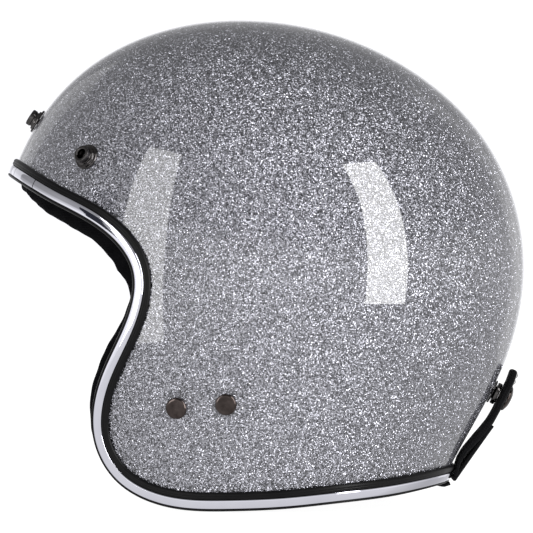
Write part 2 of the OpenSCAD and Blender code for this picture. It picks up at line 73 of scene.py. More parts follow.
# ---- driving shape, the same as the CAD's, in millimetres ----
HALF_WIDTH = 116.0
CENTRE_Y, CENTRE_Z = 16.0, 120.0
CENTRE = np.array([0, CENTRE_Y, CENTRE_Z])
SHELL_WALL = 4.0
LINER_GAP = 1.0
FOAM_CROWN, FOAM_LOW = 28.0, 14.0
PROFILE = np.array([120, 121.5, 122.5, 123, 127.5, 135.5, 148, 158.5, 159.5, 159,
                    164.5, 179.5, 204, 222, 206, 134, 121, 119])
RIM = np.array([[-157.5, 186.5], [-133.5, 173.5], [-109, 157.5], [-83, 146.5], [-61, 123.5],
                [-69, 93.5], [-83, 69.5], [-89.5, 40], [-76.5, 13], [-48, 2], [-19.5, 2.5],
                [9, 3.5], [37.5, 7], [66.5, 9], [94.5, 14], [123.5, 15]])
SPANS = len(RIM) - 3
FOLD = (50.0, -33.0, 11.3)
LEAN = math.radians(5)
WEB_WIDTH, WEB_THICK = 25.0, 1.8
LEFT_LENGTH, RIGHT_LENGTH, TAIL_LENGTH = 84.0, 86.0, 76.0
RING_WIRE = 3.6
REAR_HINGE = np.array([98.6, 11.0])
REAR_SNAP = (120.3, 57.3)
REAR_WIDTH = 24.0
# height of the rear strap's middle over the shell, at its snap
REAR_LIFT = 6.5


def unit(v):
    return v / np.linalg.norm(v, axis=-1, keepdims=True)


def smooth(t):
    t = np.clip(t, 0, 1)
    return t * t * (3 - 2 * t)


def run_along(points):
    """Length covered at each point of a line."""
    return np.concatenate([[0], np.cumsum(np.linalg.norm(np.diff(points, axis=0), axis=1))])


def circle(n):
    return np.linspace(0, 2 * math.pi, n, endpoint=False)


def weights(u):
    return [(1 - u) ** 3, 3 * u ** 3 - 6 * u * u + 4, -3 * u ** 3 + 3 * u * u + 3 * u + 1, u ** 3]


def slope_weights(u):
    return [-3 * (1 - u) ** 2, 9 * u * u - 12 * u, -9 * u * u + 6 * u + 3, 3 * u * u]


def radius(angle, slope=False):
    """Side profile radius at an angle in degrees, or its slope per radian."""
    q = (np.asarray(angle, float) % 360) / 20
    k = np.floor(q).astype(int)
    w = slope_weights(q - k) if slope else weights(q - k)
    r = sum(PROFILE[(k + i - 1) % 18] * w[i] for i in range(4)) / 6
    return r * 9 / math.pi if slope else r


def angle_of(v):
    return np.degrees(np.arctan2(v[..., 2], v[..., 1]))


def surface(n):
    r = radius(angle_of(n))
    return np.stack([HALF_WIDTH * n[..., 0], CENTRE_Y + r * n[..., 1], CENTRE_Z + r * n[..., 2]], -1)


def direction(p):
    q = p - CENTRE
    r = radius(angle_of(q))
    return unit(np.stack([q[..., 0] / HALF_WIDTH, q[..., 1] / r, q[..., 2] / r], -1))


def normal(n):
    a = angle_of(n)
    r, c, s = radius(a), np.cos(np.radians(a)), np.sin(np.radians(a))
    k = radius(a, True) / r
    q = np.hypot(n[..., 1], n[..., 2]) / r
    return unit(np.stack([n[..., 0] / HALF_WIDTH, q * (c + k * s), q * (s - k * c)], -1))


def under(n, h):
    """Point at height h over the shell's outside, negative inside."""
    h = np.broadcast_to(np.asarray(h, float), n.shape[:-1])
    return surface(n) + normal(n) * h[..., None]


def slerp(a, b, t):
    w = np.arccos(np.clip(np.sum(a * b, -1, keepdims=True), -1, 1))
    return (np.sin((1 - t) * w) * a + np.sin(t * w) * b) / np.sin(w)


def side_direction(y, z, side=1):
    a = math.atan2(z - CENTRE_Z, y - CENTRE_Y)
    q = min(1.0, math.hypot(y - CENTRE_Y, z - CENTRE_Z) / float(radius(math.degrees(a))))
    return np.array([side * math.sqrt(1 - q * q), q * math.cos(a), q * math.sin(a)])


def rim_side(t):
    k = np.minimum(np.floor(t).astype(int), SPANS - 1)
    w = weights(t - k)
    return sum(RIM[k + i] * w[i][:, None] for i in range(4)) / 6 - CENTRE[1:]


def rim_share(t):
    p = rim_side(t)
    return np.hypot(p[:, 0], p[:, 1]) / radius(np.degrees(np.arctan2(p[:, 1], p[:, 0])))


def rim_direction(w):
    t = SPANS * (1 - np.cos(math.pi * w)) / 2
    ends = rim_share(np.array([0.0, float(SPANS)]))
    q = np.minimum(1, rim_share(t) / (ends[0] + (ends[1] - ends[0]) * t / SPANS))
    p = unit(rim_side(t))
    return np.stack([np.sqrt(1 - q * q), q * p[:, 0], q * p[:, 1]], -1)


FINE = np.linspace(0, 1, 241)
RUN = run_along(surface(rim_direction(FINE)))
EDGE_LENGTH = RUN[-1]


def edge_direction(s):
    s = (np.asarray(s, float) + 1) % 2 - 1
    n = rim_direction(np.interp(np.abs(s) * EDGE_LENGTH, RUN, FINE))
    n[:, 0] *= np.where(s < 0, -1, 1)
    return n


# the middle of the upper back, where the rows of the dome meet
POLE = unit(np.array([0.0, 1.0, 1.0]))
# distance from the edge over which a place runs straight in, before it turns toward the pole
STRAIGHT = 10.0
MEAN_RADIUS = 130.0


class Stations:
    """Places along the shell's edge, each with the direction that runs into the shell."""

    def __init__(self, s):
        step = 0.004
        self.s = np.asarray(s, float)
        self.n = edge_direction(self.s)
        self.p = surface(self.n)
        self.m = normal(self.n)
        ahead = surface(edge_direction(self.s + step)) - surface(edge_direction(self.s - step))
        self.t = unit(ahead)
        self.b = unit(np.cross(self.m, self.t))

    def inward(self, b):
        """Directions at distances b from the edge: one row for each station."""
        b = np.atleast_1d(np.asarray(b, float))
        b = np.broadcast_to(b, (len(self.s), b.shape[-1]))
        near = direction(self.p[:, None] + self.b[:, None] * np.minimum(b, STRAIGHT)[..., None])
        w = np.arccos(np.clip(np.sum(near * POLE, -1), -1, 1))
        f = np.maximum(b - STRAIGHT, 0) / MEAN_RADIUS / w
        return np.where((b > STRAIGHT)[..., None], slerp(near, POLE, f[..., None]), near)

    def place(self, b, h):
        return under(self.inward(b), h)


def whole_edge(n):
    return Stations(np.linspace(0, 2, n, endpoint=False))


def foam_depth(n):
    foam = FOAM_LOW + (FOAM_CROWN - FOAM_LOW) * smooth((n[..., 2] + 0.6) / 0.5)
    return -SHELL_WALL - LINER_GAP - foam


# ---- mesh making ----
def add_object(name, verts, faces, material, uv=None, normals=None, sharp=None):
    mesh = bpy.data.meshes.new(name)
    mesh.from_pydata((np.asarray(verts) * MM).tolist(), [], [list(map(int, f)) for f in faces])
    mesh.materials.append(material)
    mesh.polygons.foreach_set("use_smooth", [True] * len(mesh.polygons))
    if uv is not None:
        layer = mesh.uv_layers.new(name="strip")
        layer.data.foreach_set("uv", np.asarray(uv, np.float32).ravel())
    if sharp:
        mesh.set_sharp_from_angle(angle=math.radians(sharp))
    if normals is not None:
        mesh.normals_split_custom_set_from_vertices(np.asarray(normals).tolist())
    mesh.validate()
    mesh.update()
    return put(name, mesh)


def skin(name, rings, material, loop=False, normals=None, sharp=None):
    """Closed surface through rings of points, with its run along and around in metres as UVs."""
    rings = np.asarray(rings, float)
    k, m = rings.shape[:2]
    rows = np.arange(k if loop else k - 1)
    i, j = [a.ravel() for a in np.meshgrid(rows, np.arange(m), indexing="ij")]
    e, h = (j + 1) % m, (i + 1) % k
    quads = np.stack([i * m + j, i * m + e, h * m + e, h * m + j], -1)
    around = np.linalg.norm(np.roll(rings, -1, 1) - rings, axis=2).mean(0)
    along = np.linalg.norm(np.roll(rings, -1, 0) - rings, axis=2).mean(1)
    u = np.concatenate([[0], np.cumsum(around)]) * MM
    v = np.concatenate([[0], np.cumsum(along)]) * MM
    uv = np.stack([np.stack([u[j], v[i]], -1), np.stack([u[j + 1], v[i]], -1),
                   np.stack([u[j + 1], v[i + 1]], -1), np.stack([u[j], v[i + 1]], -1)], 1)
    verts = rings.reshape(-1, 3)
    faces = quads.tolist()
    uv = uv.reshape(-1, 2).tolist()
    if not loop:
        verts = np.concatenate([verts, [rings[0].mean(0), rings[-1].mean(0)]])
        for c in range(m):
            faces.append([k * m, (c + 1) % m, c])
            faces.append([k * m + 1, (k - 1) * m + c, (k - 1) * m + (c + 1) % m])
            uv += [[u[c], v[0]]] * 3 + [[u[c], v[k - 1]]] * 3
    tri = verts[[f[0] for f in faces]], verts[[f[1] for f in faces]], verts[[f[2] for f in faces]]
    if np.sum(tri[0] * np.cross(tri[1], tri[2])) < 0:
        size = [len(f) for f in faces]
        starts = np.concatenate([[0], np.cumsum(size)])[:-1]
        uv = [uv[s + n - 1 - c] for s, n in zip(starts, size) for c in range(n)]
        faces = [f[::-1] for f in faces]
    return add_object(name, verts, faces, material, uv, normals, sharp)


def ring_faces(here, there, m):
    """Quads between two rings of m points, from the index of each ring's first point."""
    return [[here + j, here + (j + 1) % m, there + (j + 1) % m, there + j] for j in range(m)]


def rounded(points, r, steps):
    """Polygon with each corner turned into a short arc of cut length r."""
    p = np.asarray(points, float)
    out = []
    for i in range(len(p)):
        a, b, c = p[i - 1], p[i], p[(i + 1) % len(p)]
        cut = min(r, 0.45 * np.linalg.norm(a - b), 0.45 * np.linalg.norm(c - b))
        s, e = b + unit(a - b) * cut, b + unit(c - b) * cut
        for k in range(steps + 1):
            t = k / steps
            out.append(s * (1 - t) ** 2 + b * 2 * t * (1 - t) + e * t * t)
    return np.array(out)


def bezier(a, b, c, d, n):
    t = np.linspace(0, 1, n + 1)[:, None]
    a, b, c, d = [np.asarray(v, float) for v in (a, b, c, d)]
    return a * (1 - t) ** 3 + b * 3 * t * (1 - t) ** 2 + c * 3 * t * t * (1 - t) + d * t ** 3


def arc(c, r, a0, a1, n):
    a = np.radians(np.linspace(a0, a1, n + 1))
    return np.array(c) + r * np.stack([np.cos(a), np.sin(a)], -1)


def resample(path, step, ease=0):
    """The same path with points an even step apart, its corners eased by a few passes of smoothing."""
    p = np.asarray(path, float)
    run = run_along(p)
    n = max(4, int(round(run[-1] / step)))
    t = np.linspace(0, run[-1], n + 1)
    out = np.stack([np.interp(t, run, p[:, i]) for i in range(p.shape[1])], -1)
    for i in range(ease):
        out[1:-1] = (out[:-2] + 2 * out[1:-1] + out[2:]) / 4
    return out


# ---- node helpers for the materials ----
def set_stops(ramp, stops):
    """Give a ramp its stops, each a position and a colour."""
    for i in (0, -1):
        ramp.elements[i].position = stops[i][0]
        ramp.elements[i].color = (*stops[i][1], 1)
    for pos, colour in stops[1:-1]:
        ramp.elements.new(pos).color = (*colour, 1)


class Tree:
    """Adds and links the nodes of a node tree."""

    def __init__(self, tree):
        self.tree = tree

    def add(self, kind, values=None, **props):
        node = self.tree.nodes.new("ShaderNode" + kind)
        for key, value in props.items():
            setattr(node, key, value)
        for key, value in (values or {}).items():
            node.inputs[key].default_value = value
        return node

    def link(self, a, b):
        self.tree.links.new(a, b)

    def math(self, op, *args, clamp=False):
        node = self.add("Math", operation=op, use_clamp=clamp)
        for i, a in enumerate(args):
            if isinstance(a, (int, float)):
                node.inputs[i].default_value = a
            else:
                self.link(a, node.inputs[i])
        return node.outputs[0]

    def times(self, a, b):
        return self.math("MULTIPLY", a, b)

    def plus(self, a, b):
        return self.math("ADD", a, b)

    def separate(self, kind, source):
        node = self.add("Separate" + kind)
        self.link(source, node.inputs[0])
        return node.outputs

    def vector(self, op, *args, scale=None):
        node = self.add("VectorMath", operation=op)
        for i, a in enumerate(args):
            if isinstance(a, tuple):
                node.inputs[i].default_value = a
            else:
                self.link(a, node.inputs[i])
        if scale is not None:
            node.inputs["Scale"].default_value = scale
        return node.outputs[0]

    def place(self, kind="Object"):
        return self.add("TexCoord").outputs[kind]

    def noise(self, scale, detail, rough=0.5):
        node = self.add("TexNoise", {"Scale": scale, "Detail": detail, "Roughness": rough})
        self.link(self.place(), node.inputs["Vector"])
        return node.outputs["Fac"]

    def voronoi(self, scale, feature="F1"):
        node = self.add("TexVoronoi", {"Scale": scale}, feature=feature)
        self.link(self.place(), node.inputs["Vector"])
        return node

    def ramp(self, fac, stops):
        node = self.add("ValToRGB")
        set_stops(node.color_ramp, stops)
        self.link(fac, node.inputs["Fac"])
        return node.outputs["Color"]


class Nodes(Tree):
    """A material with one principled shader, which the nodes lead to."""

    def __init__(self, name, base, **sockets):
        self.mat = bpy.data.materials.new(name)
        self.mat.use_nodes = True
        super().__init__(self.mat.node_tree)
        self.bsdf = self.tree.nodes["Principled BSDF"]
        self.bsdf.inputs["Base Color"].default_value = (*base, 1)
        for key, value in sockets.items():
            self.bsdf.inputs[key.replace("_", " ").title().replace("Ior", "IOR")].default_value = value

    def bump(self, height, strength, distance):
        node = self.add("Bump", {"Strength": strength, "Distance": distance})
        self.link(height, node.inputs["Height"])
        self.link(node.outputs["Normal"], self.bsdf.inputs["Normal"])

    def color(self, out):
        self.link(out, self.bsdf.inputs["Base Color"])

    def rough(self, fac, low, high):
        node = self.add("MapRange", {"To Min": low, "To Max": high})
        self.link(fac, node.inputs["Value"])
        self.link(node.outputs["Result"], self.bsdf.inputs["Roughness"])


# ---- materials ----
FLAKE_TILT = 1.6
# flakes to a metre
SMALL_FLAKES, LARGE_FLAKES = 2500.0, 1400.0


def flake_paint():
    """Metal flakes 0.4 and 0.7 mm across under clear coat, the small ones each tilted its own way."""
    n = Nodes("metal_flake_paint", (0.6, 0.61, 0.63), metallic=1.0, roughness=0.3,
              coat_weight=1.0, coat_roughness=0.015, coat_ior=1.65)
    small, large = n.voronoi(SMALL_FLAKES), n.voronoi(LARGE_FLAKES)
    tilt = n.vector("SUBTRACT", small.outputs["Color"], (0.5, 0.5, 0.5))
    tilt = n.vector("SCALE", tilt, scale=FLAKE_TILT)
    facing = n.add("NewGeometry").outputs["Normal"]
    leaned = n.vector("NORMALIZE", n.vector("ADD", facing, tilt))
    n.link(leaned, n.bsdf.inputs["Normal"])
    small_parts = n.separate("Color", small.outputs["Color"])
    large_parts = n.separate("Color", large.outputs["Color"])
    mixed = n.plus(n.times(small_parts[0], 0.7), n.times(large_parts[1], 0.3))
    n.color(n.ramp(mixed, [(0.08, (0.06, 0.06, 0.07)), (0.35, (0.175, 0.175, 0.2)),
                           (0.62, (0.325, 0.325, 0.365)), (0.9, (0.76, 0.76, 0.84))]))
    n.rough(small_parts[1], 0.2, 0.42)
    return n.mat


def rubber():
    n = Nodes("trim_rubber", (0.004, 0.004, 0.0045), roughness=0.4, specular_ior_level=0.16)
    fine = n.noise(900.0, 4.0)
    broad = n.noise(60.0, 3.0)
    n.color(n.ramp(broad, [(0.3, (0.0018, 0.0018, 0.0022)), (0.75, (0.0045, 0.0042, 0.0045))]))
    n.rough(broad, 0.3, 0.46)
    n.bump(fine, 0.12, 0.0002)
    return n.mat


def bright_strip():
    n = Nodes("bright_strip", (0.86, 0.86, 0.94), metallic=1.0, roughness=0.07)
    broad = n.noise(45.0, 4.0)
    fine = n.noise(700.0, 2.0)
    n.color(n.ramp(broad, [(0.3, (0.8, 0.8, 0.89)), (0.7, (0.88, 0.88, 0.96))]))
    n.rough(broad, 0.03, 0.09)
    n.bump(fine, 0.05, 0.00015)
    return n.mat


def plated(name, base, worn, rough):
    """Plated steel: brushed by fine noise, a little lighter where it is rubbed."""
    n = Nodes(name, base, metallic=1.0, roughness=0.25)
    broad = n.noise(260.0, 5.0, 0.6)
    n.color(n.ramp(broad, [(0.32, base), (0.72, worn)]))
    n.rough(broad, *rough)
    n.bump(n.noise(2600.0, 3.0), 0.08, 0.0001)
    return n.mat


def webbing(name, rib=0.0017, colour=(0.007, 0.007, 0.008), lit=(0.024, 0.024, 0.025)):
    """Flat woven webbing: ribs across the strip that step sideways from one band to the next."""
    n = Nodes(name, colour, roughness=0.8, sheen_weight=0.03, sheen_roughness=0.45, specular_ior_level=0.1)
    run = n.separate("XYZ", n.place("UV"))
    across = n.math("DIVIDE", run[0], rib * 1.25)
    shift = n.times(n.math("PINGPONG", across, 1.0), 0.9)
    along = n.math("DIVIDE", run[1], rib)
    ribs = n.math("SINE", n.times(n.plus(along, shift), 2 * math.pi))
    bands = n.math("ABSOLUTE", n.math("SINE", n.times(across, math.pi)))
    threads = n.noise(2400.0, 2.0)
    height = n.plus(n.times(ribs, 0.5), n.times(bands, 0.6))
    height = n.plus(height, n.times(threads, 0.5))
    # colour follows the weave's height: painted shade in the grooves between ribs, and the lit colour is a
    # painted highlight on the raised ribs and threads
    fac = n.math("MULTIPLY_ADD", height, 0.35, 0.35, clamp=True)
    n.color(n.ramp(fac, [(0.1, colour), (0.95, lit)]))
    n.bump(height, 0.75, 0.0003)
    return n.mat


def knit(name, colour, lit, pitch=0.0011, sheen=0.12, shine=0.2):
    """Knitted lining cloth: rows of small loops over a soft uneven pile."""
    n = Nodes(name, colour, roughness=0.85, sheen_weight=sheen, sheen_roughness=0.4,
              specular_ior_level=shine)
    loops = n.voronoi(1 / pitch, feature="SMOOTH_F1")
    height = n.separate("XYZ", n.place())[2]
    rows = n.math("SINE", n.times(height, 2 * math.pi / (pitch * 1.6)))
    pile = n.noise(140.0, 5.0, 0.6)
    raised = n.plus(n.times(loops.outputs["Distance"], -0.9), n.times(rows, 0.18))
    raised = n.plus(raised, n.times(pile, 0.6))
    tone = n.plus(n.times(pile, 0.6), n.times(loops.outputs["Distance"], 0.5))
    n.color(n.ramp(tone, [(0.3, colour), (0.85, lit)]))
    n.bump(raised, 0.6, 0.0006)
    return n.mat


def bead_foam():
    n = Nodes("bead_foam", (0.03, 0.03, 0.032), roughness=0.75)
    beads = n.voronoi(330.0, feature="SMOOTH_F1")
    cells = n.voronoi(330.0)
    n.color(n.ramp(cells.outputs["Distance"], [(0.0, (0.045, 0.045, 0.048)), (0.8, (0.02, 0.02, 0.021))]))
    n.bump(n.times(beads.outputs["Distance"], -1.0), 0.7, 0.0012)
    return n.mat


def thread():
    n = Nodes("stitch_thread", (0.03, 0.03, 0.032), roughness=0.55, sheen_weight=0.2)
    n.bump(n.noise(3500.0, 2.0), 0.3, 0.0001)
    return n.mat


PAINT = flake_paint()
RUBBER = rubber()
BRIGHT = bright_strip()
NICKEL = plated("dark_nickel", (0.045, 0.042, 0.042), (0.13, 0.122, 0.122), (0.07, 0.16))
GUNMETAL = plated("gunmetal", (0.05, 0.04, 0.037), (0.105, 0.085, 0.08), (0.04, 0.1))
ZINC = plated("zinc_steel", (0.42, 0.42, 0.43), (0.62, 0.62, 0.62), (0.25, 0.5))
STEEL = plated("polished_steel", (0.62, 0.62, 0.64), (0.8, 0.8, 0.82), (0.08, 0.2))
WEB = webbing("black_webbing")
REAR_WEB = webbing("rear_webbing", 0.0013, (0.002, 0.002, 0.0025), (0.007, 0.007, 0.008))
LINING = knit("lining_cloth", (0.008, 0.008, 0.009), (0.034, 0.034, 0.036))
EDGE_CLOTH = knit("edge_cloth", (0.0015, 0.0015, 0.002), (0.006, 0.006, 0.007), 0.0008, 0.0, 0.04)
FOAM = bead_foam()
THREAD = thread()
INSIDE = Nodes("shell_inside", (0.05, 0.05, 0.052), roughness=0.7).mat


# ---- placing on the shell ----
def axes_at(n):
    """Origin and axes at a surface direction: x level, y upward, z out of the shell."""
    z = normal(n)
    x = unit(np.cross([0, 0, 1], z))
    return surface(n), np.stack([x, np.cross(z, x), z])


def lathe(name, sites, profile, material, r, turns):
    """The same turned part at each site, its corners eased."""
    out = rounded(profile, r, 3)
    verts, faces = [], []
    m = len(out)
    a = circle(turns)
    for site in sites:
        o, ax = axes_at(site)
        local = np.stack([np.outer(np.cos(a), out[:, 0]), np.outer(np.sin(a), out[:, 0]),
                          np.tile(out[:, 1], (turns, 1))], -1)
        base = len(verts) * turns * m
        verts.append((o + local @ ax).reshape(-1, 3))
        for i in range(turns):
            faces += ring_faces(base + i * m, base + (i + 1) % turns * m, m)
    ob = add_object(name, np.concatenate(verts), faces, material)
    bm = bmesh.new()
    bm.from_mesh(ob.data)
    bmesh.ops.remove_doubles(bm, verts=bm.verts, dist=2e-6)
    bmesh.ops.recalc_face_normals(bm, faces=bm.faces)
    bm.to_mesh(ob.data)
    bm.free()
    ob.data.set_sharp_from_angle(angle=math.radians(40))
    return ob


def joins(ob, body, slot, *nodes):
    """The piece rides on a body and stands for CAD nodes, which it hides; the slot argument is not used."""
    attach(ob, body)
    if nodes:
        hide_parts(*nodes)
    return ob


def middle_direction(angle):
    """Direction in the plane of symmetry, at an angle in radians up from the back."""
    return np.array([0, math.cos(angle), math.sin(angle)])


# places in the side view, as y and z
SIDE_SNAP = (-91.9, 180)
RIVET_PLACES = ((-45.3, 52.5), (-20.3, 54.6))
BROW_SNAP_ANGLE = math.radians(149.5)
SNAPS = [side_direction(*SIDE_SNAP), side_direction(*SIDE_SNAP, -1), middle_direction(BROW_SNAP_ANGLE)]
RIVETS = [side_direction(*p, s) for s in (1, -1) for p in RIVET_PLACES]
REAR_ANGLE = math.atan2(REAR_SNAP[1] - CENTRE_Z, REAR_SNAP[0] - CENTRE_Y)
REAR_DIR = middle_direction(REAR_ANGLE)


# ---- shell and foam ----
LOOP_COUNT = 420
LOOP = whole_edge(LOOP_COUNT)


def dome_rings(st, rows, height):
    start = st.inward(10.0)[:, 0]
    for f in rows:
        n = slerp(start, POLE, f)
        yield under(n, height(n) if callable(height) else height), normal(n)


def outer_shell():
    rows = np.linspace(0.004, 0.985, 84)
    lip = ((10, -SHELL_WALL), (4, -SHELL_WALL), (0.4, -SHELL_WALL), (0, 0.4 - SHELL_WALL),
           (0, -0.4), (0.4, 0), (4, 0), (10, 0))
    edge = [LOOP.place(b, h)[:, 0] for b, h in lip]
    facing = [normal(LOOP.inward(b)[:, 0]) for b, h in lip]
    inner = list(dome_rings(LOOP, rows[::-3], -SHELL_WALL))
    outer = list(dome_rings(LOOP, rows, 0.0))
    rings = [p for p, _ in inner] + edge + [p for p, _ in outer]
    normals = [-m for _, m in inner] + [-m for m in facing[:3]] + [-LOOP.b] * 2 + facing[5:]
    normals += [m for _, m in outer]
    ends = np.array([-normal(POLE), normal(POLE)])
    ob = skin("shell", rings, PAINT, normals=np.concatenate([*normals, ends]))
    ob.data.materials.append(INSIDE)
    index = np.zeros(len(ob.data.polygons), int)
    index[:(len(inner) + 2) * LOOP_COUNT] = 1
    index[(len(rings) - 1) * LOOP_COUNT::2] = 1
    ob.data.polygons.foreach_set("material_index", index)
    return joins(ob, "helmet", "flake_paint", "outer_shell")


# places along the edge, and the foam's distance from the edge at each
FOAM_EDGE = ([0, 0.5, 0.56, 0.66, 0.71, 1], [9, 9, 15, 15, 9, 9])


def direction_at(st, b):
    """Directions at a different distance b for each station."""
    return st.inward(b[:, None])[:, 0]


def foam_liner():
    st = whole_edge(260)
    rows = np.linspace(0.05, 0.985, 50)
    s = np.abs((st.s + 1) % 2 - 1)
    lip = direction_at(st, np.interp(s, *FOAM_EDGE))
    out, deep = -SHELL_WALL - LINER_GAP, foam_depth(lip)
    rings = [p for p, _ in dome_rings(st, rows[::-1], foam_depth)]
    rings += [under(lip, deep * f + out * (1 - f)) for f in (1.0, 0.9, 0.5, 0.0)]
    rings += [p for p, _ in dome_rings(st, rows[::2], out)]
    ob = skin("foam_liner", rings, FOAM, sharp=50)
    return joins(ob, "helmet", "foam", "eps_liner")


# ---- edge trim ----
# sections as distance from the edge and height over the shell
RUBBER_SECTION = [[8.1, 0.3], [7.8, 1.5], [7.0, 2.1], [6.4, 2.2], [6.1, 1.9], [5.7, 2.15], [4.8, 2.15],
                  [4.4, 1.5], [-0.35, 1.5], [-0.65, 2.45], [-1.35, 2.4], [-2.1, 1.3], [-2.3, -1.0],
                  [-2.2, -4.6], [-1.2, -5.8], [0, -6.2], [6.2, -5.9], [7, -5], [6.7, -4.4],
                  [-0.25, -4.25], [-0.25, 0.2]]
STRIP_SECTION = [[-0.2, 1.55], [-0.4, 2.05], [-0.2, 2.4], [0.4, 2.6], [1.8, 2.7], [3.3, 2.62], [4.05, 2.42],
                 [4.35, 2.0], [4.2, 1.55]]


def edge_trim():
    st = whole_edge(720)
    for name, points, r, material, slot, node in (
            ("edge_rubber", RUBBER_SECTION, 0.5, RUBBER, "rubber_edge", "edge_trim_rubber"),
            ("edge_bright_strip", STRIP_SECTION, 0.35, BRIGHT, "bright_strip", "edge_trim_chrome")):
        section = rounded(points, r, 3)
        rings = st.place(section[:, 0], section[:, 1])
        joins(skin(name, rings, material, loop=True, sharp=60), "helmet", slot, node)
    joint_sleeve(section)


def joint_sleeve(section, mid=0.0855, half=13.4):
    """Thin sleeve over the strip's ends, left of the brow's middle, with a dark gap at each end."""
    lifted = section[:, 1] > 1.7
    for name, a, b, lift, material in (("strip_joint", -half, half, 0.07, BRIGHT),
                                       ("strip_joint_gap_a", -half - 0.5, -half - 0.1, 0.05, RUBBER),
                                       ("strip_joint_gap_b", half + 0.1, half + 0.5, 0.05, RUBBER)):
        st = Stations(mid + np.linspace(a, b, 24 if b - a > 1 else 3) / EDGE_LENGTH)
        rings = st.place(section[:, 0] * 1.01, section[:, 1] + lift * lifted)
        joins(skin(name, rings, material, sharp=40), "helmet",
              "bright_strip" if material is BRIGHT else "rubber_edge")


# ---- snaps and rivets, each turned from a profile of radius and height over the shell ----
STUD = [[1.8, 0.1], [6.4, 0.1], [6.8, 0.45], [6.5, 1.1], [5.3, 1.2], [5.2, 2.1], [4.1, 2.3], [4.0, 3.0],
        [4.4, 3.2], [4.4, 5.2], [3.9, 5.6], [3, 5.6], [2.6, 5.2], [2.6, 1.2], [1.8, 1.2]]
STUD_RIVET = [[0, -6.8], [2.4, -6.8], [2.6, -5.8], [1.5, -5.7], [1.5, 1.3], [2.45, 1.3], [2.45, 1.7],
              [1.4, 2.4], [0.5, 2.45], [0.4, 1.9], [0, 1.8]]
STRAP_RIVET = [[0, -12.2], [3.4, -12.2], [3.6, -11.6], [3.6, -10.7], [2.4, -10.6], [2.4, 0.1], [5.3, 0.1],
               [5.5, 0.4], [5.5, 1.3], [5.35, 1.8], [4.9, 2.2], [4.2, 2.38], [2.0, 2.42], [0, 2.42]]
REAR_STUD = [[1.8, 0.1], [6.2, 0.1], [6.5, 0.5], [6.2, 0.9], [3.4, 1], [3.3, 1.7], [3.5, 1.9], [3.5, 2.8],
             [3.1, 3.2], [1.8, 3.2]]
REAR_RIVET = [[0, -6.8], [2.4, -6.8], [2.6, -5.8], [1.5, -5.7], [1.5, 2.7], [0, 2.9]]
REAR_CAP = [[0, 4.3], [2.2, 4.3], [2.2, 8.5], [6.55, 8.5], [6.8, 8.9], [6.8, 9.4], [6.3, 9.9], [5.6, 10.2],
            [4.8, 10.6], [3.6, 11.0], [2.0, 11.25], [0, 11.35]]
REAR_SOCKET = [[4.3, 1.5], [5.6, 1.5], [6, 1.9], [6, 3.5], [5.6, 3.9], [0, 3.9], [0, 3.55], [4.3, 3.55]]


# name, places, profile, material, corner radius, steps round, body, slot and CAD node
TURNED = [
    ("visor_studs", SNAPS, STUD, NICKEL, 0.14, 72, "helmet", "dark_nickel", "visor_snap_studs"),
    ("visor_stud_rivets", SNAPS, STUD_RIVET, NICKEL, 0.1, 72, "helmet", "dark_nickel", "visor_snap_rivets"),
    ("strap_rivets", RIVETS, STRAP_RIVET, GUNMETAL, 0.16, 96, "helmet", "gunmetal", "chin_rivets"),
    ("rear_snap_stud", [REAR_DIR], REAR_STUD, NICKEL, 0.12, 72, "helmet", "dark_nickel", "rear_stud"),
    ("rear_snap_rivet", [REAR_DIR], REAR_RIVET, NICKEL, 0.1, 72, "helmet", "dark_nickel", "rear_stud_rivet"),
    ("rear_snap_cap", [REAR_DIR], REAR_CAP, GUNMETAL, 0.15, 72, "goggle_strap", "gunmetal",
     "goggle_snap_cap"),
    ("rear_snap_socket", [REAR_DIR], REAR_SOCKET, NICKEL, 0.12, 72, "goggle_strap", "dark_nickel",
     "goggle_snap_socket"),
]


def hardware():
    for name, sites, profile, material, r, turns, body, slot, node in TURNED:
        joins(lathe(name, sites, profile, material, r, turns), body, slot, node)
    for node in ("visor_snap_washers", "chin_rivet_spacers", "hanger_plate_left", "hanger_plate_right",
                 "rear_stud_washer"):
        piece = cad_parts[node]
        piece.data.materials.clear()
        piece.data.materials.append(ZINC)


# ---- webbing ----
# pitch of the weave's ribs
RIB = 1.3


def strip_rings(line, wide, width, thick, tooth=0.35, swell=0.12, blunt=(False, False)):
    """Rings of a flat woven strip along a line of points, its edges toothed by the ribs of the weave.

    The thickness may be a list spread evenly along the line; a blunt end is rounded off.
    """
    line, n = np.asarray(line, float), len(line)
    wide = np.broadcast_to(np.asarray(wide, float), (n, 3))
    ahead = unit(np.gradient(line, axis=0))
    wide = unit(wide - ahead * np.sum(wide * ahead, -1, keepdims=True))
    out = np.cross(wide, ahead)
    run = run_along(line)
    a = circle(40)
    c, s = np.cos(a), np.sin(a)
    x = np.sign(c) * np.abs(c) ** 0.28
    y = np.sign(s) * np.abs(s) ** 0.5
    wave = np.sin(2 * math.pi * run / RIB)
    side = np.abs(x) > 0.9
    w = width / 2 + np.where(side, 1.0, 0.0)[None, :] * wave[:, None] * tooth / 2
    phase = np.sin(2 * math.pi * (run[:, None] / RIB + x[None, :] * width / 4.2))
    half = np.interp(run / run[-1], np.linspace(0, 1, np.size(thick)), np.atleast_1d(thick))[:, None] / 2
    t = half + swell * phase * np.where(side, 0.3, 1.0)[None, :]
    for is_round, left in zip(blunt, (run, run[-1] - run)):
        if is_round:
            t = t * np.sqrt(np.clip(1 - (1 - np.minimum(1, left[:, None] / half)) ** 2, 0.02, 1))
    return line[:, None] + wide[:, None] * (x * w)[..., None] + out[:, None] * (y * t)[..., None]


def web(name, line, wide, width, thick, material, body, slot, *nodes, step=0.42, ease=0, **extra):
    rings = strip_rings(resample(line, step, ease), wide, width, thick, **extra)
    return joins(skin(name, rings, material), body, slot, *nodes)


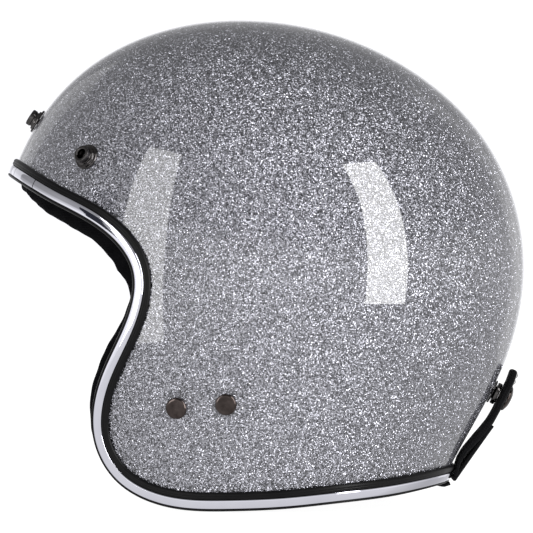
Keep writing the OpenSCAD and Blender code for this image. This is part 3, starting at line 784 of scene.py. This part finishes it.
def stitch_row(points, out, length=2.4, gap=1.2, r=0.22):
    """Rings of short threads along a line, each sinking into the cloth at its ends."""
    p = np.asarray(points, float)
    run = run_along(p)
    out = np.broadcast_to(np.asarray(out, float), p.shape)
    verts, faces = [], []
    for start in np.arange(gap, run[-1] - length, length + gap):
        t = start + length * np.linspace(0, 1, 7)
        c = np.stack([np.interp(t, run, p[:, i]) for i in range(3)], -1)
        o = unit(np.stack([np.interp(t, run, out[:, i]) for i in range(3)], -1))
        f = np.sin(np.linspace(0, math.pi, 7))
        c = c + o * (r * (1.5 * f - 0.5))[:, None]
        d = unit(np.gradient(c, axis=0))
        side = unit(np.cross(d, o))
        a = circle(6)
        girth = (r * (0.35 + 0.65 * f))[:, None, None]
        ring = (c[:, None] + side[:, None] * np.cos(a)[None, :, None] * girth
                + np.cross(side, d)[:, None] * np.sin(a)[None, :, None] * girth)
        b = sum(len(v) for v in verts)
        verts.append(ring.reshape(-1, 3))
        for i in range(6):
            faces += ring_faces(b + i * 6, b + i * 6 + 6, 6)
        faces.append([b + j for j in range(6)][::-1])
        faces.append([b + 36 + j for j in range(6)])
    return verts, faces


def stitches(name, rows, body, slot):
    """One object for several rows of stitching: each row is (points, outward)."""
    verts, faces = [], []
    for points, out in rows:
        v, f = stitch_row(points, out)
        base = sum(len(x) for x in verts)
        verts += v
        faces += [[base + i for i in face] for face in f]
    ob = add_object(name, np.concatenate(verts), faces, THREAD)
    return joins(ob, body, slot)


def yz_line(points, x=0.0):
    p = np.asarray(points, float)
    return np.stack([np.full(len(p), x), p[:, 0], p[:, 1]], -1)


def rear_strap():
    """Thick layer from the snap down to the trim, and a thin layer from halfway down to the hinge."""
    out = normal(REAR_DIR)[1:]
    up = np.array([-out[1], out[0]])
    mid = surface(REAR_DIR)[1:] + REAR_LIFT * out
    across = [1, 0, 0]
    main = [mid + 16 * up - [1, 0], mid + 9 * up, mid - 8 * up, [118.4, 42.4], [114.2, 36.9], [109.4, 31.4],
            [105.2, 26.8], [102.2, 22.4], [101.1, 19.2], [100.4, 16.2], [99.7, 13.6]]
    web("goggle_strap_main", yz_line(main), across, REAR_WIDTH,
        [3.3, 3.5, 3.6, 3.3, 3.6, 4.0, 3.4, 2.4, 2.2], REAR_WEB, "goggle_strap", "webbing", "goggle_strap",
        step=0.3, ease=12, tooth=0.5, swell=0.2, blunt=(True, True))
    thin = [[119.2, 40.2], [117.2, 37.4], [107.3, 23.5], REAR_HINGE]
    web("goggle_strap_thin", yz_line(thin), across, REAR_WIDTH - 1, 2.3, REAR_WEB, "goggle_strap", "webbing",
        step=0.3, ease=2, tooth=0.3, swell=0.1, blunt=(False, True))
    tab = [[96.9, 9.4], [93.6, 8.4], [90.6, 8.9], [88.2, 10.5], [86.8, 13.1], [87.7, 16.1], [90.7, 22.9]]
    web("rear_anchor", yz_line(tab), across, REAR_WIDTH, 1.5, REAR_WEB, "helmet", "webbing",
        "rear_anchor_tab", step=0.3, ease=3)
    seam_x, lift = 9.3, 2.0
    line = resample(np.array(main[:3]), 1.0)
    rows = [(yz_line(line + out * lift, x), [0, *out]) for x in (-seam_x, seam_x)]
    top = np.array(main[0]) - up * 3 + out * lift
    rows.append((np.array([[-seam_x, *top], [seam_x, *top]]), [0, *out]))
    stitches("goggle_strap_stitches", rows, "goggle_strap", "webbing")


def strap_point(s, x, z, y=0.0):
    """Place in the stowed strap's own axes: x outward, z up along the strap."""
    c, k = math.cos(LEAN), math.sin(LEAN)
    return np.array([s * (FOLD[0] + x * c + z * k), FOLD[1] + y, FOLD[2] - x * k + z * c])


def strap_line(s, points):
    return np.array([strap_point(s, x, z) for x, z in points])


BAR_LOW = np.array([-3.2, LEFT_LENGTH - 10])
BAR_UP = BAR_LOW + [-3.9, 3.9]
WRAP = RING_WIRE / 2 + 0.45 + WEB_THICK / 2
TAIL_AXIS = np.array([-3.4, RIGHT_LENGTH])
# how far from a strap's middle its outer rows of stitches run
STITCH_Y = 9.5


def chin_straps():
    across = [0, 1, 0]
    left = [[0, 0], [0, BAR_LOW[1] - 2], [0, BAR_LOW[1] + 1.6], *arc(BAR_UP, WRAP, 35, 190, 24),
            BAR_UP - [1.6, 6.4], BAR_LOW - [1, 7.5], BAR_LOW - [-0.9, 10.5], BAR_LOW - [-1.2, 14]]
    web("chin_strap_ring_side", strap_line(1, left), across, WEB_WIDTH, WEB_THICK, WEB, "chin_strap_left",
        "webbing", "chin_strap_left")
    lean = math.radians(-50)
    end = TAIL_AXIS + 1.95 * np.array([math.cos(lean), math.sin(lean)])
    h = RIGHT_LENGTH
    right = [[0, 0], [0, h - 8], *bezier([0, h - 6], [0, h - 4], [-0.6, h - 2.8], end, 10)]
    web("chin_strap_plain_side", strap_line(-1, right), across, WEB_WIDTH, WEB_THICK, WEB,
        "chin_strap_right", "webbing", "chin_strap_right")
    tail = [*bezier(TAIL_AXIS, TAIL_AXIS - [1, 1.4], TAIL_AXIS - [1.8, 4.5], TAIL_AXIS - [1.8, 7], 12),
            TAIL_AXIS - [1.8, TAIL_LENGTH - 1.5]]
    web("chin_strap_tail", strap_line(-1, tail), across, WEB_WIDTH, WEB_THICK, WEB, "strap_tail", "webbing",
        "strap_tail")
    h = BAR_LOW[1] - 12.6
    out = [math.cos(LEAN), 0, -math.sin(LEAN)]
    rows = [(np.array([strap_point(1, 0.98, z, y) for z in (h - 1, h + 12)]), out)
            for y in (-STITCH_Y, STITCH_Y)]
    rows.append((np.array([strap_point(1, 0.98, h, y) for y in (-STITCH_Y, STITCH_Y)]), out))
    stitches("ring_side_stitches", rows, "chin_strap_left", "webbing")
    rows = [(np.array([strap_point(-1, -6.15, z, y) for z in (14, 24)]), [math.cos(LEAN), 0, math.sin(LEAN)])
            for y in (-STITCH_Y, -3, 3, STITCH_Y)]
    stitches("tail_stitches", rows, "strap_tail", "webbing")


PLATE = (-33.0, 43.0)


def strap_tab(s, name, node):
    """Fixed webbing: through the plate's slot, down, then in under the foam to the fold."""
    n = side_direction(*PLATE, s)
    o, (a, b, z) = axes_at(n)
    loop = [[-7.2, -27], [-7.2, -20], *arc([-9.65, -14.3], 2.45, 0, 180, 16), [-12.1, -20], [-12.1, -27]]
    upper = [o + b * v + z * h for h, v in loop]
    last = upper[-1]
    end = np.array([s * (FOLD[0] + 1.7), FOLD[1], FOLD[2]])
    lower = bezier(last, last - b * 9, end + [s * 24, 0, 0], end, 30)[1:]
    line = resample(np.concatenate([upper, lower]), 0.42)
    share = np.clip((np.arange(len(line)) - 0.45 * len(line)) / (0.55 * len(line)), 0, 1)[:, None]
    wide = unit(a * s * (1 - share) + np.array([0, 1, 0]) * share)
    rings = strip_rings(line, wide, WEB_WIDTH, WEB_THICK)
    return joins(skin(name, rings, WEB), "helmet", "webbing", node)


def strap_folds():
    """Webbing that bends between the fixed tab and the swinging strap."""
    x, z = FOLD[0], FOLD[2]
    turn = bezier([x + 6, z], [x + 3.2, z], [x + 0.25, z + 2.6], [x + 0.45, z + 6], 24)
    for s, body, name in ((1, "chin_strap_left", "fold_ring_side"),
                          (-1, "chin_strap_right", "fold_plain_side")):
        line = np.array([[s * x, FOLD[1], z] for x, z in turn])
        ob = skin(name, strip_rings(resample(line, 0.42), [0, 1, 0], WEB_WIDTH + 0.1, WEB_THICK + 0.15), WEB)
        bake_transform(ob)


# half length of a ring's bar, its corners, and half the width and the depth of its bow
BAR_HALF, CORNER, BOW_HALF, BOW_DEEP = 12.3, 3, 15.3, 18
RING_TILT = math.radians(13)


def d_rings():
    bow = np.linspace(0.08, math.pi - 0.08, 60)
    line = [[y, 0] for y in np.linspace(-BAR_HALF, BAR_HALF, 20)]
    line += [*arc([BAR_HALF, -CORNER], CORNER, 75, 0, 8)]
    line += [[BOW_HALF * math.cos(a), -4 - BOW_DEEP * math.sin(a)] for a in bow]
    line += [*arc([-BAR_HALF, -CORNER], CORNER, 180, 105, 8)]
    line = np.array(line)
    ahead = unit(np.roll(line, -1, 0) - np.roll(line, 1, 0))
    side = np.stack([-ahead[:, 1], ahead[:, 0]], -1)
    a, r = circle(20), RING_WIRE / 2
    x = np.tile(np.sin(a) * r, (len(line), 1))
    y = line[:, :1] + side[:, :1] * np.cos(a) * r
    z = line[:, 1:] + side[:, 1:] * np.cos(a) * r
    u = x * math.cos(RING_TILT) + z * math.sin(RING_TILT)
    w = -x * math.sin(RING_TILT) + z * math.cos(RING_TILT)
    for name, node, bar in (("ring_low", "d_ring_lower", BAR_LOW), ("ring_up", "d_ring_upper", BAR_UP)):
        rings = np.moveaxis(strap_point(1, u + bar[0], w + bar[1], y), 0, -1)
        joins(skin(name, rings, STEEL, loop=True), node, "bright_steel", node)


# ---- padding ----
# places along the edge, and where the roll's outer side is at each
ROLL_EDGE = ([0, 0.05, 0.1, 0.18, 0.22, 0.27, 0.3, 0.32, 0.34, 0.4, 0.47, 0.5, 0.54],
             [-7, -7.4, -9.6, -10.4, -11.4, -14, -11, -7.6, -8, -10.3, -11.2, -9.4, -3])


def ripple(a, b, seed=0.0):
    """Slow uneven waves from -1 to 1."""
    waves = np.sin(a + seed) + 0.6 * np.sin(2.3 * a + 1.7 * b + 2 * seed)
    return (waves + 0.5 * np.sin(3.9 * b - 1.1 * a)) / 2.1


def roll_section(s, b, h):
    """Corner points of the padded roll around the face opening at one station."""
    taper = smooth((0.545 - abs(s)) / 0.03) * 0.75 + 0.25
    mb, mh = (b + 8.2) / 2, (h - 6.8) / 2
    q = np.array([[b + 2.6, -6.7], [3, -6.8], [8.2, -7.2], [8.2, h + 0.4], [6.5, h - 3.2], [b + 9, h - 3.6],
                  [b + 4, h], [b + 1.2, (h - 8) * 0.62], [b, -14], [b, -9.4], [b + 0.8, -7.6]])
    return np.array([mb, mh]) + (q - [mb, mh]) * taper


def opening_roll():
    st = Stations(np.linspace(-0.54, 0.54, 620))
    deep = foam_depth(st.inward(8.0)[:, 0])
    seam = []
    b_all, h_all = [], []
    for s, h in zip(st.s, deep):
        b = float(np.interp(abs(s), *ROLL_EDGE))
        sec = rounded(roll_section(s, b, float(h)), 3.2, 5)
        # the cloth is gathered along its seam and swells between
        run = s * EDGE_LENGTH
        mid = sec.mean(0)
        d = sec - mid
        a = np.arctan2(d[:, 1], d[:, 0])
        puff = 0.35 * ripple(run / 4.2, a * 1.5) + 0.25 * ripple(run / 11.0, a, 2.0)
        fold = np.exp(-((np.abs(a) - math.pi) / 0.16) ** 2)
        grow = np.where(d[:, 0] < 0, 1.0, 0.25) * (puff - 1.1 * fold + 0.25)
        sec = sec + unit(d) * grow[:, None]
        b_all.append(sec[:, 0])
        h_all.append(sec[:, 1])
        seam.append(sec[np.argmin(np.abs(np.abs(a) - math.pi))])
    rings = st.place(np.array(b_all), np.array(h_all))
    ob = skin("opening_roll_cover", rings, EDGE_CLOTH)
    joins(ob, "helmet", "lining", "opening_roll")
    seam = np.array(seam)
    keep = slice(12, -12)
    rows = []
    for off in (2.2, -2.2):
        pts = st.place(seam[:, :1] - 0.25, seam[:, 1:] + off)[:, 0][keep]
        rows.append((pts, -st.b[keep]))
    stitches("opening_roll_stitches", rows, "helmet", "lining")
    a = circle(10)
    cord = st.place(seam[:, :1] - 0.1 + 0.75 * np.cos(a), seam[:, 1:] + 0.75 * np.sin(a))[keep]
    joins(skin("opening_roll_piping", cord, EDGE_CLOTH), "helmet", "lining")


def coords(mesh):
    co = np.empty(len(mesh.vertices) * 3)
    mesh.vertices.foreach_get("co", co)
    return co.reshape(-1, 3) / MM


def settle(ob):
    """The object's mesh with its modifiers worked in."""
    made = bpy.data.meshes.new_from_object(ob.evaluated_get(bpy.context.evaluated_depsgraph_get()))
    ob.modifiers.clear()
    ob.data = made
    return made


def remeshed(name, node, material, voxel):
    """A loose cover in the shape of a CAD piece, ready for the cloth pass."""
    ob = put(name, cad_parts[node].data.copy())
    ob.data.materials.clear()
    remesh = ob.modifiers.new("remesh", "REMESH")
    remesh.mode, remesh.voxel_size = "VOXEL", voxel * MM
    settle(ob)
    ob.data.materials.clear()
    ob.data.materials.append(material)
    return ob


# name, CAD node, voxel size and most swelling in millimetres, and fill
COVERS = [
    ("brow_pad_cover", "brow_pad", 3.5, 1.6, 0.7),
    ("crown_pad_cover", "crown_pad", 4.5, 2.6, 0.6),
    ("headband_pad_cover", "headband_pad", 4.5, 2.4, 0.6),
    ("cheek_pad_cover_left", "cheek_pad_left", 5.0, 3.0, 0.75),
    ("cheek_pad_cover_right", "cheek_pad_right", 5.0, 3.0, 0.75),
    ("neck_roll_cover", "neck_roll", 4.5, 1.8, 0.7),
    ("sleeve_cover_left", "chin_sleeve_left", 3.0, 1.0, 0.6),
    ("sleeve_cover_right", "chin_sleeve_right", 3.0, 1.0, 0.6),
]
SLEEVES = {"sleeve_cover_left": "chin_strap_left", "sleeve_cover_right": "chin_strap_right"}
CLOTH_FRAMES = 20


def inflate(covers):
    """Cloth pass: each cover swells a little like a sewn bag over foam."""
    for ob, _ in covers:
        cloth = ob.modifiers.new("cloth", "CLOTH")
        cloth.settings.use_pressure = True
        cloth.settings.uniform_pressure_force = 4
        cloth.settings.tension_stiffness = 12
        cloth.settings.bending_stiffness = 0.4
        cloth.settings.effector_weights.gravity = 0
        cloth.settings.mass = 0.25
        cloth.point_cache.frame_start, cloth.point_cache.frame_end = 1, CLOTH_FRAMES
    scene = bpy.context.scene
    scene.frame_start, scene.frame_end = 1, CLOTH_FRAMES
    for f in range(1, CLOTH_FRAMES + 1):
        scene.frame_set(f)
    graph = bpy.context.evaluated_depsgraph_get()
    blown = [bpy.data.meshes.new_from_object(ob.evaluated_get(graph)) for ob, _ in covers]
    for (ob, cap), mesh in zip(covers, blown):
        move = coords(mesh) - coords(ob.data)
        size = np.linalg.norm(move, axis=1, keepdims=True)
        move *= np.minimum(1, cap / np.maximum(size, 1e-9))
        ob.modifiers.clear()
        ob.data.vertices.foreach_set("co", ((coords(ob.data) + move) * MM).ravel())
        ob.data.update()
    scene.frame_set(1)


def seam_depth(d, width):
    return np.exp(-(d / width) ** 2)


def nearest(v, pitch):
    """Distance to the nearest of lines that repeat at a pitch."""
    return np.abs((v / pitch + 0.5) % 1 - 0.5) * pitch


def quilt(name, p):
    """How far each point of a cover is drawn in by its seams, in millimetres."""
    x, y, z = p.T
    if name == "crown_pad_cover":
        r = np.hypot(x, y - CENTRE_Y)
        a = np.arctan2(y - CENTRE_Y, x)
        spoke = nearest(a, math.pi / 3) * r
        ring = np.abs(r - 24)
        return 2.2 * np.maximum(seam_depth(spoke, 2.6) * (r > 24), seam_depth(ring, 2.6))
    if name == "headband_pad_cover":
        bearing = np.degrees(np.arctan2(x, -(y - CENTRE_Y)))
        return 2.2 * seam_depth(nearest(bearing, 28) * 1.4, 2.6)
    if name.startswith("cheek_pad"):
        across = np.abs((y + 40) * 0.94 + (z - 62) * -0.34)
        return 2.4 * seam_depth(across, 2.6)
    if name == "brow_pad_cover":
        return 1.4 * seam_depth(nearest(x, 34), 2.2)
    if name == "neck_roll_cover":
        return 1.2 * seam_depth(nearest(x, 40), 2.4)
    return np.zeros(len(p))


def finish_cover(ob, node, fill):
    """Finer mesh, then seams drawn in and small creases that run into them."""
    sub = ob.modifiers.new("sub", "SUBSURF")
    sub.levels = sub.render_levels = 2
    settle(ob)
    mesh = ob.data
    p = coords(mesh)
    nor = np.empty(len(mesh.vertices) * 3)
    mesh.vertices.foreach_get("normal", nor)
    nor = nor.reshape(-1, 3)
    depth = quilt(ob.name, p)
    facing = np.clip(-np.sum(nor * unit(p - CENTRE), -1) * 2, 0, 1)
    if ob.name in SLEEVES:
        facing[:] = 1
    near = np.clip(depth / 2.4, 0, 1)
    crease = 0.28 * ripple(p[:, 0] / 2.6 + p[:, 2] / 3.1, p[:, 1] / 2.4) * (0.25 + near * (1 - near) * 4)
    slow = 0.45 * ripple(p[:, 1] / 9.0, p[:, 2] / 8.0 + p[:, 0] / 11.0, 1.0)
    p = p + nor * (facing * (crease + slow - depth))[:, None]
    mesh.vertices.foreach_set("co", (p * MM).ravel())
    mesh.polygons.foreach_set("use_smooth", [True] * len(mesh.polygons))
    mesh.update()
    joins(ob, SLEEVES.get(ob.name, "helmet"), "lining", node)


def padding():
    covers = [(remeshed(name, node, LINING, voxel), cap) for name, node, voxel, cap, fill in COVERS]
    inflate(covers)
    for (ob, _), (_, node, _, _, fill) in zip(covers, COVERS):
        finish_cover(ob, node, fill)


# ---- light, floor and world ----
def area_light(name, place, aim, size, power):
    data = bpy.data.lights.new(name, "AREA")
    data.shape = "RECTANGLE"
    data.size, data.size_y = size
    data.energy = power
    ob = put(name, data)
    ob.location = place
    ob.rotation_euler = Vector([a - b for a, b in zip(place, aim)]).to_track_quat("Z", "Y").to_euler()


# the lights stand round a point between the helmet's middle and its left side
ROUND_X = 0.08
FLOOR_HALF = 14.0
# an upright card that darkens one reflection
FLAG_BEARING, FLAG_WIDTH, FLAG_HEIGHT = -69, 0.36, 0.5
# name, bearing, distance, height, where across the helmet it aims, width and length, and power
LIGHTS = [
    ("strip_box", 45.5, 1.5, 0.77, ROUND_X, (0.56, 2.0), 25),
    ("broad_box", -48.5, 1.5, 0.66, ROUND_X, (0.45, 1.64), 8),
    ("far_strip", 142, 1.6, 0.6, 0.0, (0.4, 1.7), 0.5),
    ("far_broad", 218, 1.6, 0.6, 0.0, (0.6, 1.7), 1.2),
]


def around(bearing, distance, height):
    """Place at a bearing where 0 is the camera's side and 90 is behind the helmet."""
    a = math.radians(bearing)
    return ROUND_X + distance * math.cos(a), distance * math.sin(a), height


def world_light():
    """Pale studio: white behind and near the horizon, darker overhead and on the far side."""
    world = bpy.data.worlds.new("studio")
    bpy.context.scene.world = world
    world.use_nodes = True
    n = Tree(world.node_tree)
    toward = n.separate("XYZ", n.place("Generated"))

    def grey(part, stops):
        """Grey over one part of the direction, from -1 to 1, which the stops count from 0 to 1."""
        return n.ramp(n.math("MULTIPLY_ADD", part, 0.5, 0.5), [(pos, (v, v, v)) for pos, v in stops])

    overhead = grey(toward[2], [(0.0, 0.62), (0.4, 0.7), (0.475, 0.97), (0.545, 0.97), (0.64, 0.34),
                                (0.85, 0.26), (1.0, 0.26)])
    far_side = grey(toward[0], [(0.0, 0.55), (0.2, 0.55), (0.42, 0.85), (0.5, 1.0), (1.0, 1.0)])
    behind = grey(toward[0], [(0.0, 1.0), (0.012, 1.0), (0.035, 0.3), (0.1, 0.12), (0.4, 0.03), (1.0, 0.0)])
    dimmed = n.add("Mix", data_type="RGBA", blend_type="MULTIPLY")
    dimmed.inputs["Factor"].default_value = 1.0
    n.link(overhead, dimmed.inputs["A"])
    n.link(far_side, dimmed.inputs["B"])
    mix = n.add("Mix", data_type="RGBA")
    n.link(behind, mix.inputs["Factor"])
    n.link(dimmed.outputs["Result"], mix.inputs["A"])
    mix.inputs["B"].default_value = (1.0, 1.0, 1.03, 1)
    background = n.tree.nodes["Background"].inputs
    n.link(mix.outputs["Result"], background["Color"])
    background["Strength"].default_value = 1.05


def card(name, corners, material):
    """Flat card for the studio: one quad with one material."""
    mesh = bpy.data.meshes.new(name)
    mesh.from_pydata(corners, [], [(0, 1, 2, 3)])
    mesh.materials.append(material)
    ob = put(name, mesh)
    return ob


def studio():
    world_light()
    bpy.context.scene.view_settings.view_transform = "Standard"
    for name, bearing, distance, height, aim_x, size, power in LIGHTS:
        area_light(name, around(bearing, distance, height), (aim_x, 0.0, height), size, power)
    square = ((-1, -1), (1, -1), (1, 1), (-1, 1))
    (x, y, z), a = around(FLAG_BEARING, 1.45, 0.5), math.radians(FLAG_BEARING + 90)
    u, v, half = math.cos(a) * FLAG_WIDTH / 2, math.sin(a) * FLAG_WIDTH / 2, FLAG_HEIGHT / 2
    flag = card("dark_flag", [(x + i * u, y + i * v, z + j * half) for i, j in square],
                Nodes("flag_black", (0.01, 0.012, 0.02), roughness=1.0).mat)
    flag.visible_camera = flag.visible_diffuse = flag.visible_shadow = False
    white = Nodes("floor_white", (0.35, 0.35, 0.35), roughness=0.95, emission_color=(1, 1, 1, 1),
                  emission_strength=0.96).mat
    floor = card("floor", [(i * FLOOR_HALF, j * FLOOR_HALF, -0.001) for i, j in square], white)
    floor.visible_glossy = floor.visible_shadow = False


outer_shell()
foam_liner()
edge_trim()
hardware()
rear_strap()
chin_straps()
for side_sign, side_name in ((1, "left"), (-1, "right")):
    strap_tab(side_sign, "tab_" + side_name, "strap_tab_" + side_name)
strap_folds()
d_rings()
opening_roll()
padding()
studio()
